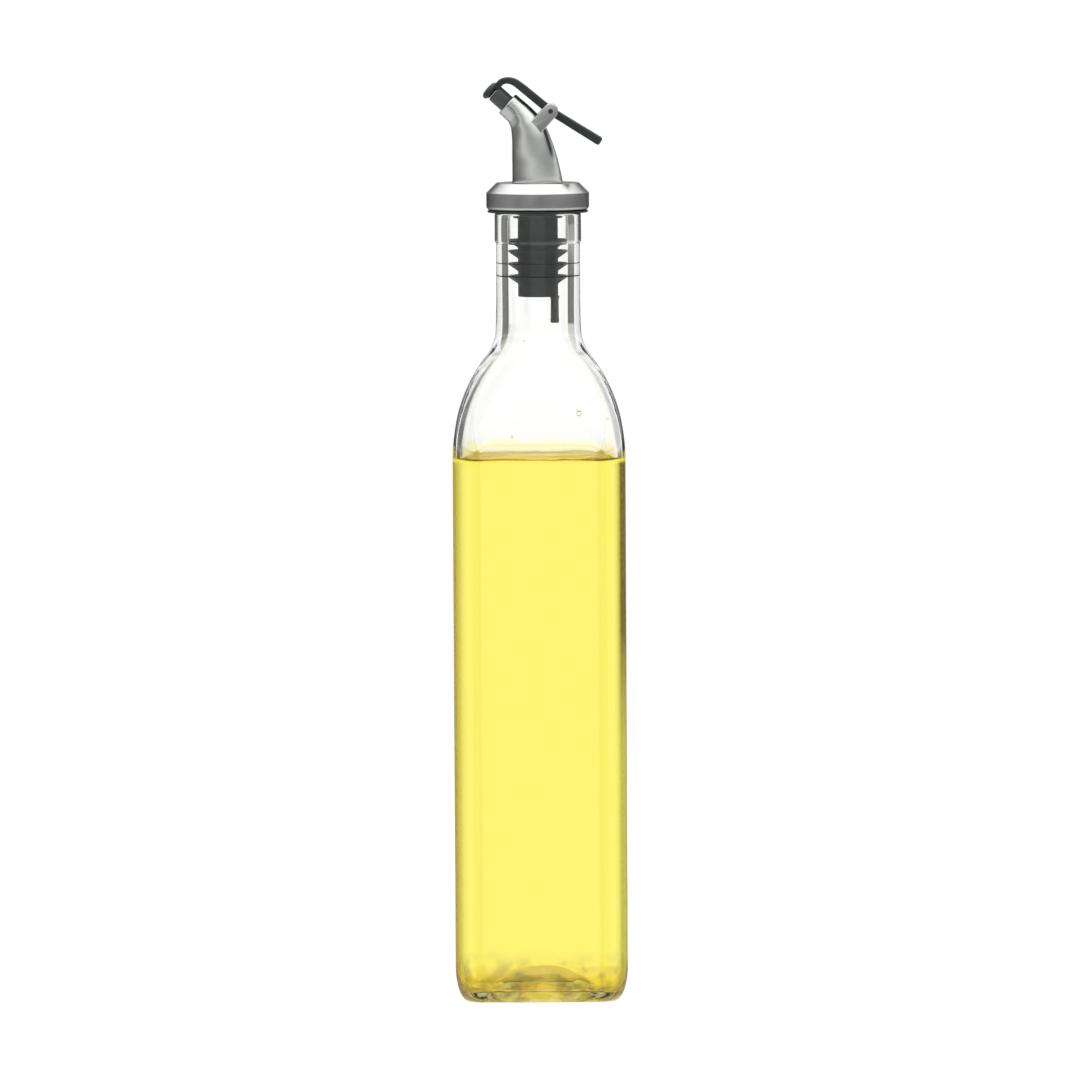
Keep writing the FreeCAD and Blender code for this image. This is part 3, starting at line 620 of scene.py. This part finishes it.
# -------------------------------------------------------------------- the pourer
COLLAR_Z = MOUTH + 0.7
finish_piece(lathe("pourer_collar", [
    (0, COLLAR_Z), (16.3, COLLAR_Z, 0.1), (17.3, COLLAR_Z + 1.0, 1.1), (17.3, COLLAR_Z + 6.0, 0.25),
    (13.95, COLLAR_Z + 9.3, 0.5), (12.5, COLLAR_Z + 9.35, 0.3), (0, COLLAR_Z + 9.35)], 160), MAIN, METAL, "satin_metal", "pourer_body")

RISE = math.radians(42.0)
ALONG = np.array([-math.cos(RISE), math.sin(RISE)])
ACROSS = np.array([math.sin(RISE), math.cos(RISE)])
SPOUT_END = np.array([-10.05, 301.45])
PIVOT = np.array([4.47, 298.9])


def tube_rings(stations, around=72):
    """Round sections (x, z, lean in degrees, radius)."""
    rings = []
    for x, z, lean, r in stations:
        a = math.radians(lean)
        u = np.array([math.cos(a), 0, math.sin(a)])
        rings.append([(x + r * math.cos(t) * u[0], r * math.sin(t), z + r * math.cos(t) * u[2])
                      for t in (2 * math.pi * i / around for i in range(around))])
    return rings


def catmull(rows, steps):
    """Smooth rows of numbers through the given rows."""
    rows = [np.array(r, float) for r in rows]
    rows = [2 * rows[0] - rows[1]] + rows + [2 * rows[-1] - rows[-2]]
    out = []
    for i in range(1, len(rows) - 2):
        p0, p1, p2, p3 = rows[i - 1:i + 3]
        for k in range(steps):
            t = k / steps
            out.append(0.5 * ((2 * p1) + (-p0 + p2) * t + (2 * p0 - 5 * p1 + 4 * p2 - p3) * t * t
                              + (-p0 + 3 * p1 - 3 * p2 + p3) * t ** 3))
    out.append(rows[-2])
    return out


def make_trunk():
    end = SPOUT_END
    back = end - ALONG * 4.6
    rows = [(-0.0, 274.3, 0, 8.95), (0.0, 275.0, 0, 8.52), (-0.22, 277.3, 1, 8.25), (-0.62, 280.6, 3, 7.85), (-1.1, 284.0, 5, 7.42),
            (-1.75, 287.6, 9, 6.8), (-2.55, 291.0, 15, 6.15), (-3.75, 294.2, 25, 5.45), (-5.0, 296.3, 36, 4.85),
            (back[0], back[1], 46, 4.35)]
    stations = catmull(rows, 8)
    for d in (2.3, 1.0, 0.5):
        q = end - ALONG * d
        stations.append(np.array([q[0], q[1], 48, 4.25]))
    out = tube_rings(stations)

    def at(along, r):
        q = end + ALONG * along
        return (q[0], q[1], 48, r)
    for i in range(7):
        a = math.radians(90) * i / 6
        out += tube_rings([at(-0.4 + 0.4 * math.sin(a), 3.85 + 0.4 * math.cos(a))])
    out += tube_rings([at(0.0, 3.3), at(-0.12, 3.08), at(-0.6, 3.0), at(-2.5, 3.0)])
    q = end - ALONG * 2.5
    rings = [[(0.0, 0, 274.3)]] + out + [[(q[0], 0, q[1])]]
    return skin("trunk_skin", rings, flip=False)


def slab(name, outline, half_y, mid_y, edge=0.3, width=None):
    """A flat piece with the given XZ outline (anticlockwise seen from -Y) and rounded edges."""
    pts = [np.array(p, float) for p in outline]
    n = len(pts)
    normals = []
    for i in range(n):
        t = pts[(i + 1) % n] - pts[i - 1]
        t = t / np.linalg.norm(t)
        normals.append(np.array([t[1], -t[0]]))
    rings = []
    for sgn in (-1, 1):
        for k in range(6):
            a = math.radians(90) * (k / 5 if sgn < 0 else 1 - k / 5)
            inset = edge * (1 - math.sin(a))
            y = half_y - edge * (1 - math.cos(a))
            rings.append([(p[0] - m[0] * inset, mid_y + sgn * y, p[1] - m[1] * inset) for p, m in zip(pts, normals)])
    verts = [v for r in rings for v in r]
    faces = [tuple(range(n - 1, -1, -1))][::-1]
    last = (len(rings) - 1) * n
    faces = [tuple(range(n)), tuple(range(last + n - 1, last - 1, -1))]
    for a in range(len(rings) - 1):
        for i in range(n):
            j = (i + 1) % n
            faces.append((a * n + j, a * n + i, (a + 1) * n + i, (a + 1) * n + j))
    return mesh_object(name, verts, faces)


def ear_outline():
    h, down = 2.54, 10.0
    pts = []
    for i in range(25):
        a = math.pi * i / 24
        pts.append(PIVOT - ALONG * h * math.cos(a) + ACROSS * h * math.sin(a))
    for d in np.linspace(0, down, 12)[1:]:
        pts.append(PIVOT + ALONG * h - ACROSS * d)
    for d in np.linspace(down, 0, 12)[:-1]:
        pts.append(PIVOT - ALONG * h - ACROSS * d)
    return pts


def join(obs, name):
    """One object from several."""
    verts, faces = [], []
    for ob in obs:
        base = len(verts)
        verts += [tuple(v.co) for v in ob.data.vertices]
        faces += [tuple(base + i for i in p.vertices) for p in ob.data.polygons]
    me = bpy.data.meshes.new(name)
    me.from_pydata(verts, [], faces)
    me.polygons.foreach_set("use_smooth", [True] * len(me.polygons))
    out = bpy.data.objects.new(name, me)
    scene.collection.objects.link(out)
    for ob in obs:
        bpy.data.objects.remove(ob)
    return out


trunk = make_trunk()
ears = [slab("ear_%s" % s, ear_outline(), 1.0, y, 0.25) for s, y in (("near", -4.0), ("far", 4.0))]
trunk = join([trunk] + ears, "pourer_trunk")
finish_piece(trunk, MAIN, METAL, "satin_metal")


def to_spout(centre_n=0.0, along=0.0):
    """Carries a solid turned about Z onto the spout's axis, z = 0 at the spout tube's end."""
    q = SPOUT_END + ALONG * along + ACROSS * centre_n
    z_axis = Vector((ALONG[0], 0, ALONG[1]))
    x_axis = Vector((ACROSS[0], 0, ACROSS[1]))
    y_axis = z_axis.cross(x_axis)
    m = Matrix((x_axis, y_axis, z_axis)).transposed().to_4x4()
    m.translation = Vector((q[0], 0, q[1])) * MM
    return m


finish_piece(lathe("spout_nozzle", [
    (0, -5.8), (2.9, -5.8, 0.3), (2.9, -0.4), (2.98, 0.1), (3.02, 3.0), (3.0, 5.55, 0.9), (1.9, 5.6, 0.25), (1.8, 5.0), (1.75, -2.0), (0, -2.0)],
    72, frame_to=to_spout(-0.15)), MAIN, BLACK_MAT, "black_plastic", "nozzle")

finish_piece(lathe("pivot_rivet", [
    (0, -5.1), (0.75, -5.1, 0.2), (0.95, -4.9, 0.1), (0.95, 4.9, 0.1), (0.75, 5.1, 0.2), (0, 5.1)], 40,
    frame_to=Matrix.Translation(Vector((PIVOT[0], 0, PIVOT[1])) * MM) @ Matrix.Rotation(math.radians(90), 4, "X")),
    MAIN, PIN_MAT, "pin_steel", "pivot_pin")


# --------------------------------------------------------------------- the lever
def lever_centreline():
    """Rows of (x, z, thickness, half width) from the finger end to the hook's foot."""
    return [
        (20.6, 288.85, 2.85, 3.75), (17.6, 290.72, 2.8, 3.9), (13.6, 293.2, 2.75, 3.6), (10.2, 295.33, 2.72, 3.0),
        (7.2, 297.2, 2.7, 2.8), (4.47, 298.95, 2.72, 2.8), (1.2, 301.6, 2.72, 2.8), (-2.6, 304.75, 2.7, 2.8),
        (-5.6, 307.2, 2.6, 2.7), (-7.8, 308.7, 2.4, 2.6), (-10.0, 309.2, 2.15, 2.5), (-11.9, 308.75, 2.1, 2.4),
        (-13.1, 307.5, 2.2, 2.3), (-13.6, 306.4, 2.2, 2.2)]


def make_lever():
    rows = catmull(lever_centreline(), 9)
    n = len(rows)
    rings = []
    around = 40

    def ring(row, tangent, shrink=1.0, shift=0.0):
        x, z, thick, half = row
        nx, nz = -tangent[1], tangent[0]
        h = thick / 2
        w = half
        r = 0.62
        pts = []
        for i in range(around):
            a = 2 * math.pi * (i + 0.5) / around
            c, s = math.cos(a), math.sin(a)
            # rounded rectangle by its corner circles
            px = math.copysign(w - r, c) + r * c if abs(c) > 1e-9 else 0
            pz = math.copysign(h - r, s) + r * s if abs(s) > 1e-9 else 0
            px *= shrink if shrink < 1 else 1
            pz *= shrink if shrink < 1 else 1
            pts.append((x + nx * pz + tangent[0] * shift, px, z + nz * pz + tangent[1] * shift))
        return pts

    tans = []
    for i in range(n):
        a, b = rows[max(i - 1, 0)], rows[min(i + 1, n - 1)]
        t = np.array([b[0] - a[0], b[1] - a[1]])
        tans.append(t / np.linalg.norm(t))
    cap = 0.9
    # rounded ends
    first, last = rows[0], rows[-1]
    rings.append([(first[0] - tans[0][0] * cap, 0, first[1] - tans[0][1] * cap)])
    for k in range(1, 7):
        a = math.radians(90) * k / 6
        rings.append(ring(first, tans[0], 0.45 + 0.55 * math.sin(a), -cap * math.cos(a) ** 1.0 if k < 6 else 0))
    for row, t in zip(rows[1:-1], tans[1:-1]):
        rings.append(ring(row, t))
    for k in range(5):
        a = math.radians(90) * k / 5
        rings.append(ring(last, tans[-1], max(math.cos(a), 0.35), 0.5 * math.sin(a)))
    rings.append([(last[0] + tans[-1][0] * 0.55, 0, last[1] + tans[-1][1] * 0.55)])
    return skin("lever_arm", rings, flip=True)


finish_piece(make_lever(), "lever", LEVER_MAT, "lever_plastic", "lever")
cap = lathe("lever_cap", [
    (0, 0.0), (1.9, 0.0), (2.4, 0.25), (3.2, 0.95, 0.2), (3.35, 1.4, 0.3), (3.05, 2.1, 0.5), (2.2, 2.62, 0.8), (0, 2.85)], 72,
    frame_to=to_spout(-0.55, 5.72))
finish_piece(cap, "lever", LEVER_MAT, "lever_plastic")

# ------------------------------------------------------------------------ stage
def make_floor():
    verts, faces = [(0, 0, 0)], []
    n = 96
    for i in range(n):
        a = 2 * math.pi * i / n
        verts.append((700 * math.cos(a), 700 * math.sin(a), 0))
    for i in range(n):
        faces.append((0, 1 + i, 1 + (i + 1) % n))
    ob = mesh_object("floor", verts, faces, smooth=False)
    ob.location.z = -0.00005
    m = bpy.data.materials.new("pale_floor")
    m.use_nodes = True
    nt = m.node_tree
    nt.nodes.clear()
    out = add(nt, "ShaderNodeOutputMaterial")
    e = add(nt, "ShaderNodeEmission")
    co = add(nt, "ShaderNodeTexCoord")
    far = add(nt, "ShaderNodeVectorMath", operation="LENGTH")
    nt.links.new(co.outputs["Object"], far.inputs[0])
    # painted shadow: for rays that are not from the camera the floor glows less near the bottle, darkest at its foot
    near = map_range(nt, far.outputs["Value"], 0.03, 0.16, 0.62, 0.93)
    path = add(nt, "ShaderNodeLightPath")
    mix = add(nt, "ShaderNodeMix", data_type="FLOAT")
    nt.links.new(path.outputs["Is Camera Ray"], mix.inputs["Factor"])
    nt.links.new(near.outputs["Result"], mix.inputs[2])
    mix.inputs[3].default_value = 0.96
    nt.links.new(mix.outputs[0], e.inputs["Strength"])
    d = add(nt, "ShaderNodeBsdfDiffuse")
    d.inputs["Color"].default_value = (0.12, 0.12, 0.12, 1)
    s = add(nt, "ShaderNodeAddShader")
    nt.links.new(e.outputs["Emission"], s.inputs[0])
    nt.links.new(d.outputs["BSDF"], s.inputs[1])
    nt.links.new(s.outputs["Shader"], out.inputs["Surface"])
    ob.data.materials.append(m)
    ob.visible_glossy = ob.visible_transmission = False


make_floor()


def make_world():
    """A white room for what is seen directly or through the glass, a soft studio above and a
    greyer horizon for what is mirrored, and four dark corners for what the glass mirrors inside it."""
    w = bpy.data.worlds.new("studio")
    scene.world = w
    w.use_nodes = True
    nt = w.node_tree
    nt.nodes.clear()
    out = add(nt, "ShaderNodeOutputWorld")
    bg = add(nt, "ShaderNodeBackground")
    nt.links.new(bg.outputs["Background"], out.inputs["Surface"])
    co = add(nt, "ShaderNodeTexCoord")
    sep = add(nt, "ShaderNodeSeparateXYZ")
    nt.links.new(co.outputs["Generated"], sep.inputs["Vector"])
    path = add(nt, "ShaderNodeLightPath")

    def math_node(op, a, b=None):
        n = add(nt, "ShaderNodeMath", operation=op)
        for i, v in enumerate((a, b)):
            if v is None:
                continue
            if isinstance(v, (int, float)):
                n.inputs[i].default_value = v
            else:
                nt.links.new(v, n.inputs[i])
        return n.outputs[0]

    def mix_value(fac, a, b):
        n = add(nt, "ShaderNodeMix", data_type="FLOAT")
        nt.links.new(fac, n.inputs["Factor"])
        for i, v in ((2, a), (3, b)):
            if isinstance(v, (int, float)):
                n.inputs[i].default_value = v
            else:
                nt.links.new(v, n.inputs[i])
        return n.outputs[0]

    # mirrored: grey horizon, bright above
    gloss = add(nt, "ShaderNodeValToRGB")
    up = map_range(nt, sep.outputs["Z"], -1, 1, 0, 1).outputs["Result"]
    nt.links.new(up, gloss.inputs["Fac"])
    stops = [(0.0, 0.90), (0.24, 0.85), (0.38, 0.50), (0.45, 0.22), (0.482, 0.16), (0.53, 0.30), (0.555, 0.70), (0.570, 1.75), (0.584, 1.60), (0.603, 0.50), (0.65, 0.34), (0.70, 0.48), (0.75, 1.2), (1.0, 2.2)]
    el = gloss.color_ramp.elements
    while len(el) < len(stops):
        el.new(0.5)
    for e, (pos, v) in zip(el, stops):
        e.position = pos
        e.color = (v, v, v, 1)
    # through the glass: a white room
    mirrored = math_node("GREATER_THAN", path.outputs["Glossy Depth"], 0.5)
    below = map_range(nt, sep.outputs["Z"], -0.75, -0.55, 1.0, 0.0).outputs["Result"]
    through = mix_value(math_node("MULTIPLY", below, mix_value(mirrored, 0.25, 1.0)), 1.12, 0.80)
    # mirrored inside the glass: cosine of four times the bearing is under -0.2 towards the room's corners
    xx, yy = math_node("MULTIPLY", sep.outputs["X"], sep.outputs["X"]), math_node("MULTIPLY", sep.outputs["Y"], sep.outputs["Y"])
    two = math_node("DIVIDE", math_node("SUBTRACT", yy, xx), math_node("MAXIMUM", math_node("ADD", xx, yy), 1e-5))
    four = math_node("SUBTRACT", math_node("MULTIPLY", math_node("MULTIPLY", two, two), 2.0), 1.0)
    bare = map_range(nt, four, -0.45, -0.05, 1.0, 0.0).outputs["Result"]
    raised = map_range(nt, sep.outputs["Z"], -0.06, 0.02, 0.0, 1.0).outputs["Result"]
    # over the horizon the corners are paler on the +X side, and the whole -X side is dark
    here = math_node("LESS_THAN", sep.outputs["X"], 0.0)
    there = math_node("SUBTRACT", 1.0, here)
    level = math_node("MULTIPLY", bare, mix_value(math_node("MULTIPLY", raised, there), 0.85, 0.40))
    # paler behind the bottle's front, and towards the ceiling and the floor
    level = math_node("MULTIPLY", level, map_range(nt, sep.outputs["Y"], -0.1, 0.1, 0.5, 1.0).outputs["Result"])
    level = math_node("MULTIPLY", level, map_range(nt, math_node("ABSOLUTE", sep.outputs["Z"]), 0.35, 0.60, 1.0, 0.3).outputs["Result"])
    aside = math_node("MULTIPLY", map_range(nt, two, -0.70, -0.55, 1.0, 0.0).outputs["Result"], here)
    dark = math_node("MAXIMUM", level, math_node("MULTIPLY", math_node("MULTIPLY", aside, raised), 0.93))
    shallow = mix_value(math_node("GREATER_THAN", path.outputs["Transmission Depth"], 4.5), 1.0, 0.35)
    dark = math_node("MULTIPLY", math_node("MULTIPLY", dark, mirrored), shallow)
    # what lights dull surfaces
    dull = map_range(nt, sep.outputs["Z"], -0.2, 0.8, 0.7, 1.15).outputs["Result"]

    g = add(nt, "ShaderNodeRGBToBW")
    nt.links.new(gloss.outputs["Color"], g.inputs["Color"])
    val = mix_value(path.outputs["Is Glossy Ray"], dull, g.outputs["Val"])
    through = math_node("MULTIPLY", through, math_node("SUBTRACT", 1.0, dark))
    val = mix_value(path.outputs["Is Transmission Ray"], val, through)
    val = mix_value(path.outputs["Is Camera Ray"], val, 1.02)
    nt.links.new(val, bg.inputs["Strength"])
    # straight down through the glass: the light that has come through the oil
    below = math_node("MULTIPLY", map_range(nt, sep.outputs["Z"], -0.75, -0.50, 1.0, 0.0).outputs["Result"], mix_value(mirrored, 0.15, 1.0))
    tint = ramp(nt, math_node("MULTIPLY", below, path.outputs["Is Transmission Ray"]), [(0.0, (1.0, 1.0, 1.0)), (1.0, (1.0, 0.88, 0.40))])
    # and up from its surface
    over = math_node("MULTIPLY", math_node("MULTIPLY", raised, mirrored),
                     math_node("GREATER_THAN", path.outputs["Transmission Depth"], 3.5))
    over = math_node("MULTIPLY", over, path.outputs["Is Transmission Ray"])
    both = colour_mix(nt, over, tint.outputs["Color"], (1.0, 0.85, 0.30))
    nt.links.new(both, bg.inputs["Color"])


make_world()


light = bpy.data.lights.new("softbox", "AREA")
light.shape = "RECTANGLE"
light.size, light.size_y = 0.9, 0.6
light.energy = 6.0
lo = bpy.data.objects.new("softbox", light)
lo.location = (-0.7, -0.8, 1.1)
lo.rotation_euler = (Vector((0, 0, 0.2)) - lo.location).to_track_quat("-Z", "Y").to_euler()
scene.collection.objects.link(lo)
lo.visible_glossy = False
lo.visible_transmission = False

# ----------------------------------------------------------------------- camera
CAM_D, CAM_H, CAM_F = 3.0, 0.395, 8911.0
TARGET_X, TARGET_Z, ROLL = 0.00017, 0.15406, -0.31


def make_camera():
    cam = bpy.data.cameras.new("camera")
    ob = bpy.data.objects.new("camera", cam)
    scene.collection.objects.link(ob)
    cam.sensor_width = 36.0
    cam.sensor_fit = "HORIZONTAL"
    cam.lens = CAM_F / 1080.0 * 36.0
    cam.clip_start, cam.clip_end = 0.05, 50.0
    ob.location = (0.0, -CAM_D, CAM_H)
    aim = (Vector((TARGET_X, 0, TARGET_Z)) - ob.location).to_track_quat("-Z", "Y")
    ob.rotation_euler = (aim.to_matrix() @ Matrix.Rotation(math.radians(ROLL), 3, "Z")).to_euler()
    scene.camera = ob
    return ob


make_camera()

# ------------------------------------------------------------------ image look
scene.view_settings.view_transform = "Standard"
scene.view_settings.look = "None"
scene.view_settings.exposure = 0.0
scene.view_settings.gamma = 1.0
c = scene.cycles
c.max_bounces = 24
c.transmission_bounces = 20
c.glossy_bounces = 8
c.diffuse_bounces = 3
c.transparent_max_bounces = 16
c.caustics_refractive = True
c.caustics_reflective = True
c.sample_clamp_indirect = 10.0
